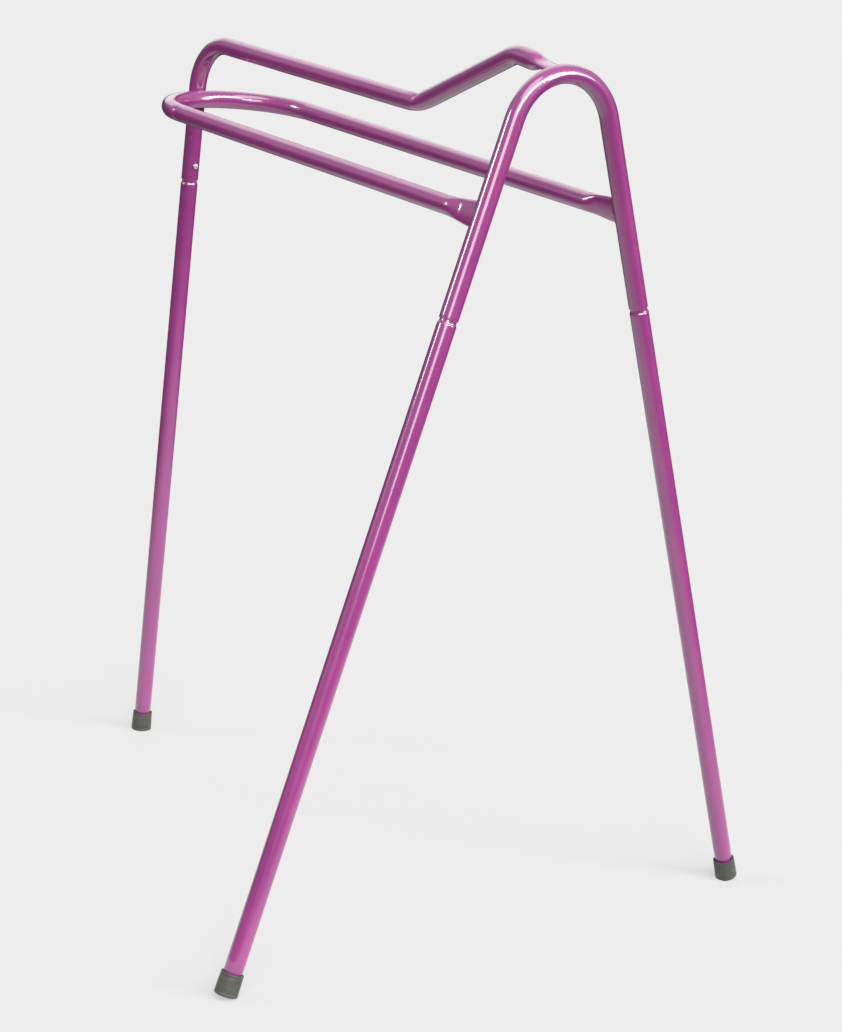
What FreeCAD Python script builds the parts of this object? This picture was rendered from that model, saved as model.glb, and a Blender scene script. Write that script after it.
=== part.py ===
"""Take-down saddle rack of bent steel tube, in millimetres.

Frame of the part: +Z up, the floor at z = 0, the origin on the floor in the middle of the footprint.
+X points to the front hoop, and the rack is symmetric about y = 0. Left is +Y, right is -Y.

A front hoop, a ridge tube that runs down into the rear upper leg, and a U-shaped saddle rail are
welded into one frame. Three lower legs plug into it with swaged spigots. A V spring inside each
spigot pushes a snap button out through the socket wall, and a rubber cap closes each leg.
"""
import FreeCAD
import Part
import math
import os

Vector = FreeCAD.Vector

# Tube, used for every member of the rack.
TUBE_OD = 19.05
TUBE_WALL = 1.6

# Stance. The hoop stands upright; its legs splay sideways and the rear leg leans back.
FOOT_BASE_LENGTH = 693.0      # hoop plane to the rear foot, along the floor
HOOP_SPLAY_DEG = 17.9         # each hoop leg from the vertical, seen from the front
REAR_LEAN_DEG = 3.86          # rear leg from the vertical, seen from the side
FRONT_LEG_DROP = 674.5        # end of a hoop socket to the bottom of its rubber cap, along the leg
REAR_LEG_DROP = 681.0         # the same for the rear leg

# Front hoop.
HOOP_APEX_HEIGHT = 874.0      # centreline at the top of the arch
HOOP_ARCH_RADIUS = 61.5       # centreline

# Ridge tube, on the middle plane. Its distances are measured back from the hoop plane.
RIDGE_REAR_HEIGHT = 839.0     # where the rear run and the rear leg would meet
RIDGE_REAR_BEND = 55.5
RIDGE_VALLEY_BACK = 225.0
RIDGE_VALLEY_HEIGHT = 818.0
RIDGE_VALLEY_BEND = 25.0
RIDGE_CREST_BACK = 76.0
RIDGE_CREST_HEIGHT = 884.5
RIDGE_CREST_BEND = 35.0

# Saddle rail, one tube bent into a U that lies in a plane tilted up to the rear.
RAIL_HALF_SPACING = 85.5      # at the U-bend
RAIL_FRONT_HEIGHT = 740.0     # centreline in the hoop plane
RAIL_END_INSET = 2.544        # how far inside the hoop leg's centreline each rail ends
RAIL_SLOPE_DEG = 3.08

# Flattened tube ends at the hoop.
PADDLE_WIDTH = 26.0
PADDLE_THICKNESS = 7.0
PADDLE_FLARE = 36.0           # length over which round turns to flat
PADDLE_FLAT = 8.0             # length that is fully flat behind the hoop's surface
PADDLE_SLOT = 1.6             # opening left between the pressed walls

# Welds.
WELD_LEG = 3.2                # reach of the bead along a flattened end, away from the hoop
WELD_ROOT = 2.9               # thickness of the bead on the hoop
WELD_FACE = 1.6               # thickness halfway up its face
WELD_TOE = 0.4                # thickness where it runs out
WELD_GAP = 0.3                # between the U-bend and the rear leg
WELD_SADDLE_RADIUS = 8.5      # reach of the fill where those two tubes cross

# Take-down joints.
SPIGOT_LENGTH = 76.0
SPIGOT_CLEARANCE = 0.25       # radial, spigot in socket
SPIGOT_TIP_CHAMFER = 1.2
SEAT_LIP = 0.45               # how far the leg's seat reaches under the socket's end
GROOVE_WIDTH = 5.0            # from the socket's end to the leg's full diameter
NECK_LENGTH = 2.4
SWAGE_LENGTH = 8.0            # inner taper below the groove
SOCKET_EDGE_ROUND = 0.7

# Snap button and its V spring.
BUTTON_HEIGHT = 17.0          # above the socket's end, along the leg
BUTTON_DIAMETER = 6.0
BUTTON_HOLE_CLEARANCE = 0.2   # radial
BUTTON_PROUD = 3.0            # beyond the socket's surface
BUTTON_DOME = 2.2
BUTTON_FLANGE_DIAMETER = 7.6
BUTTON_FLANGE_THICKNESS = 0.8
SPRING_WIDTH = 6.0
SPRING_THICKNESS = 0.7
SPRING_LENGTH = 34.0
SPRING_TOP_MARGIN = 5.0       # above the button's middle
SPRING_BEND = 2.2             # below the button
SPRING_FOOT_BEND = 1.1        # at the point of the V
SPRING_PLAY = 0.1             # from the spring to what it bears on

# Rubber foot caps.
CAP_WALL = 1.8
CAP_HEIGHT = 22.5
CAP_FLOOR = 5.0
CAP_FLARE = 0.5               # extra radius at the bottom
CAP_RIM_ROUND = 0.7
CAP_BOTTOM_ROUND = 1.6
CAP_WEAR = 1.2                # depth of the flat where the cap meets the floor

CUT_MARGIN = 2.0              # how far a cutting tool runs past what it cuts
FLARE_SECTIONS = 7            # outlines lofted through from round to flat
TOLERANCE = 1e-6

tube_r = TUBE_OD / 2
bore_r = tube_r - TUBE_WALL
spigot_r = bore_r - SPIGOT_CLEARANCE
spigot_bore_r = spigot_r - TUBE_WALL
neck_r = bore_r + SEAT_LIP
cap_r = tube_r + CAP_WALL
cap_bottom_r = cap_r + CAP_FLARE

splay = math.radians(HOOP_SPLAY_DEG)
lean = math.radians(REAR_LEAN_DEG)
rail_slope = math.radians(RAIL_SLOPE_DEG)
hoop_x = FOOT_BASE_LENGTH / 2
rear_foot_x = -FOOT_BASE_LENGTH / 2


def foot_rise(tilt):
    """Height of the middle of a tilted cap's bottom, with the cap's low edge worn flat on the floor."""
    return cap_bottom_r * math.sin(tilt) - CAP_WEAR


# Where the three sockets end, and the directions up their legs.
up_left = Vector(0, -math.sin(splay), math.cos(splay))
up_rear = Vector(math.sin(lean), 0, math.cos(lean))
hoop_joint_z = foot_rise(splay) + FRONT_LEG_DROP * math.cos(splay)
arch_centre_z = HOOP_APEX_HEIGHT - HOOP_ARCH_RADIUS
hoop_joint_y = HOOP_ARCH_RADIUS / math.cos(splay) + (arch_centre_z - hoop_joint_z) * math.tan(splay)
left_joint = Vector(hoop_x, hoop_joint_y, hoop_joint_z)
rear_joint = Vector(rear_foot_x, 0, foot_rise(lean)) + up_rear * REAR_LEG_DROP


def hoop_leg_y(z):
    """The left hoop leg's centreline at height z."""
    return hoop_joint_y - (z - hoop_joint_z) * math.tan(splay)


def rear_leg_x(z):
    """The rear leg's centreline at height z."""
    return rear_joint.x + (z - rear_joint.z) * math.tan(lean)


def mirrored(vector):
    return Vector(vector.x, -vector.y, vector.z)


def unit(vector):
    return vector / vector.Length


def disc(centre, direction, radius):
    return Part.Face(Part.Wire(Part.Circle(centre, direction, radius).toShape()))


def join(shapes):
    return shapes[0].multiFuse(shapes[1:]).removeSplitter()


def one_solid(shape):
    """The only solid of a boolean result."""
    if len(shape.Solids) != 1:
        raise ValueError("expected one solid, found %d" % len(shape.Solids))
    return shape.Solids[0]


def bent_rod(points, bends, radius):
    """A round rod along straight runs, with an arc of the given radius at each inner point."""
    pieces = []
    start = points[0]
    for i, bend in enumerate(bends):
        corner = points[i + 1]
        back = unit(points[i] - corner)
        ahead = unit(points[i + 2] - corner)
        half = back.getAngle(ahead) / 2
        entry = corner + back * (bend / math.tan(half))
        middle = corner + unit(back + ahead) * (bend / math.sin(half))
        if (entry - start).Length > TOLERANCE:
            pieces.append(disc(start, entry - start, radius).extrude(entry - start))
        axis = unit(ahead.cross(back))
        turn = 180 - math.degrees(2 * half)
        pieces.append(disc(entry, back, radius).revolve(middle, axis, turn))
        start = corner + ahead * (bend / math.tan(half))
    pieces.append(disc(start, points[-1] - start, radius).extrude(points[-1] - start))
    return join(pieces)


def oval(centre, wide, thin, half_width, half_thickness, flatness):
    """Closed outline between a circle of the tube (flatness 0) and a flat-sided slot (flatness 1)."""
    corner_x = half_width * math.sqrt(0.5) * (1 - flatness) + (half_width - half_thickness) * flatness
    corner_y = half_thickness * math.sqrt(0.5) * (1 - flatness) + half_thickness * flatness

    def at(x, y):
        return centre + wide * x + thin * y

    corners = [at(corner_x, corner_y), at(-corner_x, corner_y),
               at(-corner_x, -corner_y), at(corner_x, -corner_y)]
    middles = [at(0, half_thickness), at(-half_width, 0), at(0, -half_thickness), at(half_width, 0)]
    edges = []
    for i in range(4):
        start, end = corners[i], corners[(i + 1) % 4]
        straight = flatness > 1 - TOLERANCE and i % 2 == 0
        curve = Part.LineSegment(start, end) if straight else Part.Arc(start, middles[i], end)
        edges.append(curve.toShape())
    return Part.Wire(edges)


def flattened_end(start, direction, wide, radius, half_width, half_thickness, past):
    """A tube end pressed flat: round at start, flat after the flare, then straight on."""
    thin = direction.cross(wide)
    sections = []
    for i in range(FLARE_SECTIONS):
        share = i / (FLARE_SECTIONS - 1)
        flatness = share * share * (3 - 2 * share)
        sections.append(oval(
            start + direction * (PADDLE_FLARE * share), wide, thin,
            radius + (half_width - radius) * flatness,
            radius + (half_thickness - radius) * flatness, flatness))
    flare = Part.makeLoft(sections, True, False)
    flat = Part.Face(sections[-1]).extrude(direction * (PADDLE_FLAT + past))
    return flare.fuse(flat)


def paddle(start, direction, wide, past):
    """Outer shape and inner space of a flattened end."""
    outer = flattened_end(start, direction, wide, tube_r, PADDLE_WIDTH / 2, PADDLE_THICKNESS / 2, past)
    inner_half_width = (PADDLE_WIDTH - PADDLE_THICKNESS + PADDLE_SLOT) / 2
    inner = flattened_end(start, direction, wide, bore_r, inner_half_width, PADDLE_SLOT / 2, past)
    return outer, inner


def leg_placement(joint, up, button_way):
    """Turns the leg's own frame (z up the leg, x to the button) into the rack's."""
    side = up.cross(button_way)
    matrix = FreeCAD.Matrix(
        button_way.x, side.x, up.x, joint.x,
        button_way.y, side.y, up.y, joint.y,
        button_way.z, side.z, up.z, joint.z,
        0, 0, 0, 1)
    return FreeCAD.Placement(matrix)


# Name, socket end, way up the leg, and the side the snap button is on (the inside of the rack).
LEGS = [
    ("left", left_joint, up_left, Vector(-1, 0, 0)),
    ("right", mirrored(left_joint), mirrored(up_left), Vector(-1, 0, 0)),
    ("rear", rear_joint, up_rear, Vector(math.cos(lean), 0, -math.sin(lean))),
]
LEG_DROPS = {"left": FRONT_LEG_DROP, "right": FRONT_LEG_DROP, "rear": REAR_LEG_DROP}
placements = {name: leg_placement(joint, up, way) for name, joint, up, way in LEGS}


def placed(shape, leg):
    copy = shape.copy()
    copy.Placement = placements[leg]
    return copy


def button_hole(radius):
    """A cutter for the snap hole, in the leg's own frame."""
    return Part.makeCylinder(radius, tube_r + CUT_MARGIN, Vector(0, 0, BUTTON_HEIGHT), Vector(1, 0, 0))


def socket_end(tube, leg, joint):
    """Rounds the rim of a socket and drills its snap hole."""
    rim = [e for e in tube.Edges
           if isinstance(e.Curve, Part.Circle)
           and abs(e.Curve.Radius - tube_r) < TOLERANCE
           and (e.Curve.Center - joint).Length < TOLERANCE]
    rounded = tube.makeFillet(SOCKET_EDGE_ROUND, rim)
    return rounded.cut(placed(button_hole(BUTTON_DIAMETER / 2 + BUTTON_HOLE_CLEARANCE), leg))


def hoop_points(past):
    """The hoop's two leg ends and the corner its arch is bent in."""
    left_end = left_joint - up_left * past
    corner = Vector(hoop_x, 0, arch_centre_z + HOOP_ARCH_RADIUS / math.sin(splay))
    return [left_end, corner, mirrored(left_end)]


def make_front_hoop():
    outer = bent_rod(hoop_points(0), [HOOP_ARCH_RADIUS], tube_r)
    bore = bent_rod(hoop_points(CUT_MARGIN), [HOOP_ARCH_RADIUS], bore_r)
    hoop = outer.cut(bore)
    for leg, joint, _, _ in LEGS[:2]:
        hoop = socket_end(hoop, leg, joint)
    return one_solid(hoop)


hoop_envelope = bent_rod(hoop_points(0), [HOOP_ARCH_RADIUS], tube_r)

# The ridge tube's corners, from the rear socket to the hoop's arch.
ridge_rear = Vector(rear_leg_x(RIDGE_REAR_HEIGHT), 0, RIDGE_REAR_HEIGHT)
ridge_valley = Vector(hoop_x - RIDGE_VALLEY_BACK, 0, RIDGE_VALLEY_HEIGHT)
ridge_crest = Vector(hoop_x - RIDGE_CREST_BACK, 0, RIDGE_CREST_HEIGHT)
ridge_tip = Vector(hoop_x, 0, HOOP_APEX_HEIGHT)
ridge_end_way = unit(ridge_tip - ridge_crest)
ridge_paddle_start = ridge_tip - ridge_end_way * (tube_r + PADDLE_FLAT + PADDLE_FLARE)
RIDGE_BENDS = [RIDGE_REAR_BEND, RIDGE_VALLEY_BEND, RIDGE_CREST_BEND]


def make_ridge_tube():
    runs = [ridge_rear, ridge_valley, ridge_crest, ridge_paddle_start]
    outer_end, inner_end = paddle(ridge_paddle_start, ridge_end_way, Vector(0, 1, 0), tube_r)
    outer = bent_rod([rear_joint] + runs, RIDGE_BENDS, tube_r).fuse(outer_end)
    bore = bent_rod([rear_joint - up_rear * CUT_MARGIN] + runs, RIDGE_BENDS, bore_r).fuse(inner_end)
    ridge = socket_end(outer.cut(bore), "rear", rear_joint)
    return one_solid(ridge.cut(hoop_envelope))


# The rail's left run, from the hoop leg back to the corner that the U-bend is made in.
rail_front = Vector(hoop_x, hoop_leg_y(RAIL_FRONT_HEIGHT) - RAIL_END_INSET, RAIL_FRONT_HEIGHT)
rail_rise = math.tan(rail_slope)
# The U-bend's middle stands one tube and the weld gap in front of the rear leg's centreline.
axis_gap = (TUBE_OD + WELD_GAP) / math.cos(lean)
rail_back_x = ((rear_leg_x(RAIL_FRONT_HEIGHT + rail_rise * hoop_x) + axis_gap)
               / (1 + rail_rise * math.tan(lean)))
rail_corner = Vector(
    rail_back_x, RAIL_HALF_SPACING, RAIL_FRONT_HEIGHT + rail_rise * (hoop_x - rail_back_x))
rail_back_way = unit(rail_corner - rail_front)
rail_paddle_start = rail_front + rail_back_way * (tube_r + PADDLE_FLAT + PADDLE_FLARE)
# Both halves of the U-bend meet on the middle plane.
rail_corner_angle = (rail_back_way * -1).getAngle(Vector(0, -1, 0))
rail_bend = RAIL_HALF_SPACING * math.tan(rail_corner_angle / 2)

# Each rail's flattened end: where the round tube stops, where it points, and its width along the leg.
forward_left = rail_back_way * -1
RAIL_ENDS = {
    "left": (rail_front, rail_paddle_start, forward_left, up_left),
    "right": (mirrored(rail_front), mirrored(rail_paddle_start), mirrored(forward_left),
              mirrored(up_left)),
}


def rail_rod(radius):
    points = [rail_paddle_start, rail_corner, mirrored(rail_corner), mirrored(rail_paddle_start)]
    return bent_rod(points, [rail_bend, rail_bend], radius)


def across(up, forward):
    """The direction along a hoop leg, squared to a rail."""
    return unit(up - forward * up.dot(forward))


def rail_paddle(side):
    """Flattened end on one side, its flat set along the hoop leg."""
    _, start, forward, up = RAIL_ENDS[side]
    return paddle(start, forward, across(up, forward), tube_r)


def make_rail_loop():
    ends = [rail_paddle(side) for side in RAIL_ENDS]
    outer = rail_rod(tube_r).multiFuse([outer_end for outer_end, _ in ends])
    bore = rail_rod(bore_r).multiFuse([inner_end for _, inner_end in ends])
    return one_solid(outer.cut(bore).cut(hoop_envelope))


def end_weld(tip, direction, wide, outer_end, member):
    """Bead round a flattened end where it meets the hoop, tapering away from the hoop."""
    thin = direction.cross(wide)

    def outline(back, grow):
        return oval(tip - direction * back, wide, thin, PADDLE_WIDTH / 2 + grow,
                    PADDLE_THICKNESS / 2 + grow, 1.0)

    sections = [
        outline(0, WELD_ROOT),
        outline(tube_r, WELD_ROOT),
        outline(tube_r + WELD_LEG / 2, WELD_FACE),
        outline(tube_r + WELD_LEG, WELD_TOE),
    ]
    bead = Part.makeLoft(sections, True, True)
    return one_solid(bead.cut(hoop_envelope).cut(outer_end).cut(member))


def make_welds(rail, ridge):
    beads = {}
    for side, (tip, _, forward, up) in RAIL_ENDS.items():
        beads["weld_rail_" + side] = end_weld(
            tip, forward, across(up, forward), rail_paddle(side)[0], rail)
    ridge_outer_end = paddle(ridge_paddle_start, ridge_end_way, Vector(0, 1, 0), tube_r)[0]
    beads["weld_ridge_front"] = end_weld(
        ridge_tip, ridge_end_way, Vector(0, 1, 0), ridge_outer_end, ridge)
    # Where the U-bend crosses in front of the rear leg.
    rail_middle = Vector(rail_corner.x, 0, rail_corner.z)
    contact = rail_middle - Vector(math.cos(lean), 0, -math.sin(lean)) * (tube_r + WELD_GAP / 2)
    leg_rod = bent_rod([rear_joint, ridge_rear, ridge_valley], [RIDGE_REAR_BEND], tube_r)
    fill = Part.makeSphere(WELD_SADDLE_RADIUS, contact)
    fill = fill.cut(rail_rod(tube_r)).cut(leg_rod)
    beads["weld_loop_rear"] = one_solid(fill)
    return beads


def turned(profile):
    """A solid of revolution about z from (radius, height) corners."""
    points = [Vector(r, 0, z) for r, z in profile]
    outline = Part.makePolygon(points + [points[0]])
    return Part.Face(outline).revolve(Vector(0, 0, 0), Vector(0, 0, 1), 360)


def make_lower_leg(drop):
    """Leg tube with its swaged spigot, in its own frame with the socket's end at z = 0."""
    bottom = CAP_FLOOR - drop
    outer = turned([
        (0, bottom), (tube_r, bottom), (tube_r, -GROOVE_WIDTH), (neck_r, -NECK_LENGTH), (neck_r, 0),
        (spigot_r, 0), (spigot_r, SPIGOT_LENGTH - SPIGOT_TIP_CHAMFER),
        (spigot_r - SPIGOT_TIP_CHAMFER, SPIGOT_LENGTH), (0, SPIGOT_LENGTH)])
    bore = turned([
        (0, bottom - CUT_MARGIN), (bore_r, bottom - CUT_MARGIN), (bore_r, -GROOVE_WIDTH - SWAGE_LENGTH),
        (spigot_bore_r, -GROOVE_WIDTH), (spigot_bore_r, SPIGOT_LENGTH + CUT_MARGIN),
        (0, SPIGOT_LENGTH + CUT_MARGIN)])
    leg = outer.cut(bore).cut(button_hole(BUTTON_DIAMETER / 2 + BUTTON_HOLE_CLEARANCE))
    return one_solid(leg)


def make_foot_cap(drop):
    """Rubber cap in the leg's own frame, before its low edge is worn flat."""
    bottom = -drop
    top = bottom + CAP_HEIGHT
    cup = turned([(0, bottom), (cap_bottom_r, bottom), (cap_r, top), (0, top)])
    for height, size in ((bottom, CAP_BOTTOM_ROUND), (top, CAP_RIM_ROUND)):
        rims = [e for e in cup.Edges
                if isinstance(e.Curve, Part.Circle) and abs(e.Curve.Center.z - height) < TOLERANCE]
        cup = cup.makeFillet(size, rims)
    bore = Part.makeCylinder(tube_r, CAP_HEIGHT, Vector(0, 0, bottom + CAP_FLOOR))
    return cup.cut(bore)


def worn_flat(cap):
    """Takes away what would stand below the floor."""
    reach = 4 * cap_bottom_r
    middle = cap.BoundBox.Center
    floor = Part.makeBox(2 * reach, 2 * reach, reach, Vector(middle.x - reach, middle.y - reach, -reach))
    return one_solid(cap.cut(floor))


# The button's flange lies under the spigot's wall, as far out as its edge allows.
flange_r = BUTTON_FLANGE_DIAMETER / 2
flange_face = math.sqrt(spigot_bore_r ** 2 - flange_r ** 2) - SPRING_PLAY
button_tip = tube_r + BUTTON_PROUD


def make_snap_button():
    shank_r = BUTTON_DIAMETER / 2
    profile = turned([
        (0, flange_face - BUTTON_FLANGE_THICKNESS), (flange_r, flange_face - BUTTON_FLANGE_THICKNESS),
        (flange_r, flange_face), (shank_r, flange_face), (shank_r, button_tip), (0, button_tip)])
    tip = [e for e in profile.Edges
           if isinstance(e.Curve, Part.Circle) and abs(e.Curve.Center.z - button_tip) < TOLERANCE]
    button = profile.makeFillet(BUTTON_DOME, tip)
    button.Placement = FreeCAD.Placement(
        Vector(0, 0, BUTTON_HEIGHT), FreeCAD.Rotation(Vector(0, 0, 1), Vector(1, 0, 0)))
    return button


def make_snap_spring():
    """V spring: one arm under the button, the other on the far wall of the spigot."""
    half = SPRING_THICKNESS / 2
    far_wall = math.sqrt(spigot_bore_r ** 2 - (SPRING_WIDTH / 2) ** 2)
    button_arm_x = flange_face - BUTTON_FLANGE_THICKNESS - SPRING_PLAY - half
    far_arm_x = -far_wall + SPRING_PLAY + half
    top = BUTTON_HEIGHT + SPRING_TOP_MARGIN
    ease = Vector(button_arm_x, 0, BUTTON_HEIGHT - SPRING_TOP_MARGIN)
    foot = Vector((button_arm_x + far_arm_x) / 2, 0, top - SPRING_LENGTH)
    points = [Vector(button_arm_x, 0, top), ease, foot, Vector(far_arm_x, 0, top)]
    bends = [SPRING_BEND, SPRING_FOOT_BEND]
    edges = []
    start = points[0]
    for i, bend in enumerate(bends):
        corner = points[i + 1]
        back = unit(points[i] - corner)
        ahead = unit(points[i + 2] - corner)
        angle = back.getAngle(ahead) / 2
        entry = corner + back * (bend / math.tan(angle))
        leave = corner + ahead * (bend / math.tan(angle))
        middle = corner + unit(back + ahead) * (bend / math.sin(angle) - bend)
        edges += [Part.LineSegment(start, entry).toShape(), Part.Arc(entry, middle, leave).toShape()]
        start = leave
    edges.append(Part.LineSegment(start, points[-1]).toShape())
    path = Part.Wire(edges)
    low, high = Vector(-half, -SPRING_WIDTH / 2, 0), Vector(half, SPRING_WIDTH / 2, 0)
    corners = [low, Vector(high.x, low.y, 0), high, Vector(low.x, high.y, 0), low]
    profile = Part.makePolygon([points[0] + c for c in corners])
    return one_solid(path.makePipeShell([profile], True, False))


def build():
    """Every piece of the rack by name."""
    ridge = make_ridge_tube()
    rail = make_rail_loop()
    pieces = {"front_hoop": make_front_hoop(), "ridge_tube": ridge, "rail_loop": rail}
    pieces.update(make_welds(rail, ridge))
    spring, button = make_snap_spring(), make_snap_button()
    for name, _, _, _ in LEGS:
        pieces["lower_leg_" + name] = placed(make_lower_leg(LEG_DROPS[name]), name)
        pieces["foot_cap_" + name] = worn_flat(placed(make_foot_cap(LEG_DROPS[name]), name))
        pieces["snap_spring_" + name] = placed(spring, name)
        turned_button = button.copy()
        turned_button.Placement = placements[name].multiply(button.Placement)
        pieces["snap_button_" + name] = turned_button
    return pieces


def main():
    os.makedirs("parts", exist_ok=True)
    for name, shape in build().items():
        if not shape.isValid():
            raise ValueError(name + " is not valid")
        shape.exportStep("parts/%s.step" % name)


main()
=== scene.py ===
"""The saddle rack's visual model: bent, pressed, drilled and welded steel tube round the CAD frame.

Metres, in the frame of the part: +Z up, +X to the front hoop, left is +Y. The sizes below are the
CAD model's own, and every position is worked out from them.
"""
import math
import bmesh
import bpy
import numpy as np
from mathutils import Matrix, Vector


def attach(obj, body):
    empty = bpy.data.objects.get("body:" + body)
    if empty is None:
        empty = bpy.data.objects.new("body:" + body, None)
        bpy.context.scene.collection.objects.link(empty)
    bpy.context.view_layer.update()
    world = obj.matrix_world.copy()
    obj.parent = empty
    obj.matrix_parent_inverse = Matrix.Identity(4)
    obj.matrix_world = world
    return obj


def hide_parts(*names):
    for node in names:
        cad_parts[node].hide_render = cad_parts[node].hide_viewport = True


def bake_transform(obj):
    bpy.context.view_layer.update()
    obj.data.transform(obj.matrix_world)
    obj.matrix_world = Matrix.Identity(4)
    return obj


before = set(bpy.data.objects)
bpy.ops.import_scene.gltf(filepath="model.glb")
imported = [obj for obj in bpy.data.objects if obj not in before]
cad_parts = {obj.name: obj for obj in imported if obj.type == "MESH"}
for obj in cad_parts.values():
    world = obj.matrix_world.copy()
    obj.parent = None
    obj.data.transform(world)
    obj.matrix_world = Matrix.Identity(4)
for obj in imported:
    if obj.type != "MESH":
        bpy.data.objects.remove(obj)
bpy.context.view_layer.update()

# Tube.
TUBE_R = 0.009525
TUBE_WALL = 0.0016
BORE_R = TUBE_R - TUBE_WALL

# Stance.
FOOT_BASE_LENGTH = 0.693
SPLAY = math.radians(17.9)
LEAN = math.radians(3.86)
FRONT_LEG_DROP = 0.6745
REAR_LEG_DROP = 0.681

# Front hoop.
HOOP_X = FOOT_BASE_LENGTH / 2
HOOP_APEX_Z = 0.874
HOOP_ARCH_R = 0.0615

# Ridge tube, measured back from the hoop plane.
RIDGE_REAR_Z = 0.839
RIDGE_REAR_BEND = 0.0555
RIDGE_VALLEY_BACK = 0.225
RIDGE_VALLEY_Z = 0.818
RIDGE_VALLEY_BEND = 0.025
RIDGE_CREST_BACK = 0.076
RIDGE_CREST_Z = 0.8845
RIDGE_CREST_BEND = 0.035

# Saddle rail.
RAIL_Y = 0.0855
RAIL_FRONT_Z = 0.740
RAIL_SLOPE = math.radians(3.08)

# Flattened ends.
PADDLE_HALF_WIDTH = 0.013
PADDLE_HALF_THICKNESS = 0.0035
PADDLE_FLARE = 0.036
PADDLE_FLAT = 0.008
PADDLE_CROWN = 0.45
PADDLE_THIN_RATE = 1.8
PADDLE_RINGS = 22
PADDLE_EASE_IN = 1.35
PADDLE_EASE_OUT = 1.25
PADDLE_SUNK = 0.0012

# How far the bender squeezes each bend out of round.
HOOP_OVAL = 0.00022
RIDGE_OVAL = 0.0003
RAIL_OVAL = 0.00035
RAIL_OVAL_RAMP = 0.03

# The valley's buckled wall: height of each swelling, then its reach along the tube.
CRIMP_DENT = (0.0036, 0.0042)
CRIMP_LIP = (0.0009, 0.0042)
CRIMP_LIP_OFFSET = 0.0115
CRIMP_SPREAD = (0.0009, 0.009)
CRIMP_SINK = (0.0016, 0.010)

# The mark of the bending die on the rail, in the same way.
MARK_DENT = (0.0013, 0.0042)
MARK_LIP = (0.0006, 0.005)
MARK_LIP_OFFSET = 0.010

# Joints between the frame and its legs.
WELD_GAP = 0.0003
SPIGOT_LENGTH = 0.076
SPIGOT_R = BORE_R - 0.00025
SPIGOT_BORE_R = SPIGOT_R - TUBE_WALL
NECK_R = BORE_R + 0.00045
GROOVE_WIDTH = 0.005
NECK_LENGTH = 0.0024
NECK_STOP = 0.0004
NECK_TURN = 0.0016
SHOULDER_ROLL = 0.0009
SHOULDER_CORNER = 0.0004
SPIGOT_CHAMFER = 0.0013
SPIGOT_FILLET = 0.0003
FINE_EASE = 0.0001
SOCKET_EDGE_ROUND = 0.0007
SOCKET_LIP = 0.00025
SOCKET_DEPTH = 0.092
SOCKET_BORE_END = 0.088

# The swaged cone below the groove: height past the shoulder, and depth under the tube's surface.
CONE_TOP = (0.0011, 0.00055)
CONE_FOOT = (0.0015, 0.0008)

# Heights of the plain rows below and above a snap hole.
ROWS_BELOW = (0.004, 0.0075)
ROWS_ABOVE = (0.026, 0.05)

# Snap buttons and V springs.
BUTTON_Z = 0.017
BUTTON_R = 0.003
HOLE_R = 0.0032
BUTTON_TIP = TUBE_R + 0.003
FLANGE_R = 0.0038
FLANGE_THICKNESS = 0.0008
FLANGE_FACE = math.sqrt(SPIGOT_BORE_R ** 2 - FLANGE_R ** 2) - 0.0001
SPRING_WIDTH = 0.006
SPRING_THICKNESS = 0.0007
SPRING_LENGTH = 0.034
SPRING_PLAY = 0.0001
SPRING_ARM_HALF = 0.005
SPRING_BENDS = (0.0022, 0.0011)
SPRING_CORNER = 0.00018
SPRING_END_SCALE = 0.82
BUTTON_DOME_HEIGHT = 0.0022
BUTTON_DOME_STEPS = 14
BUTTON_DOME_FULLNESS = 0.7

# Rubber caps.
CAP_R = TUBE_R + 0.0018
CAP_BOTTOM_R = CAP_R + 0.0005
CAP_HEIGHT = 0.0225
CAP_FLOOR = 0.005
CAP_WEAR = 0.0012
CAP_FOOT_ROUND = 0.0016
CAP_LIP_ROUND = 0.0007

# Tread under the caps: the groove's depth, and inner and outer radius of each land.
TREAD_DEPTH = 0.0009
TREAD_CENTRE_R = 0.0012
TREAD_LANDS = ((0.0032, 0.0052), (0.0079, CAP_BOTTOM_R - CAP_FOOT_ROUND))
TREAD_SLOPE = 0.0008
TREAD_SLOPE_FOOT = 0.0003

# Moulded grooves round the caps, from the foot or down from the lip: how far the wall below,
# the groove's floor and the wall above stand out. Then the wall's draft between the two.
CAP_GROOVE_STEP = 0.0004
FOOT_GROOVE_Z = 0.0032
FOOT_GROOVE = (-0.00006, -0.0003, -0.0001)
LIP_GROOVE_Z = 0.0034
LIP_GROOVE = (0.00005, -0.00012, 0)
CAP_DRAFT = ((0.010, 0.0003), (0.016, 0.00015))

# Weld beads: ripple spacing, shape and unevenness.
RIPPLE = 0.0024
RIPPLE_SHARPNESS = 0.6
BEAD_SIZE = 0.0026
BEAD_LAG = 0.55
BEAD_WOBBLE = 0.09
BEAD_SUNK = 0.35
BEAD_SAMPLES = 4
CROSSING_R = 0.0078
CROSSING_WOBBLE = 0.04
CROSSING_RIPPLES = 10
ACROSS_BEAD = 10

# Mesh density.
AROUND = 64
CAP_AROUND = 96
BUTTON_AROUND = 48
CROSSING_AROUND = 160
STRAIGHT_STEP = 0.008
BEND_STEP = 0.0016
CAP_FAN_SHARE = 0.9
MERGE = 1e-6
DEGENERATE = 1e-7

# How hard each surface is rubbed, which the coat's material turns into bare patches; 0 is untouched.
LIP_WEAR = 0.7
RIM_WEAR = 0.75
BORE_WEAR = 0.55
LEG_BORE_WEAR = 0.6
NECK_WEAR = 0.35
SPIGOT_WEAR = 0.85
HOLE_EDGE_WEAR = 0.5


def vec(*numbers):
    return np.array(numbers, dtype=float)


def unit(v):
    return v / np.linalg.norm(v)


def mirrored(v):
    return v * vec(1, -1, 1)


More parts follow.
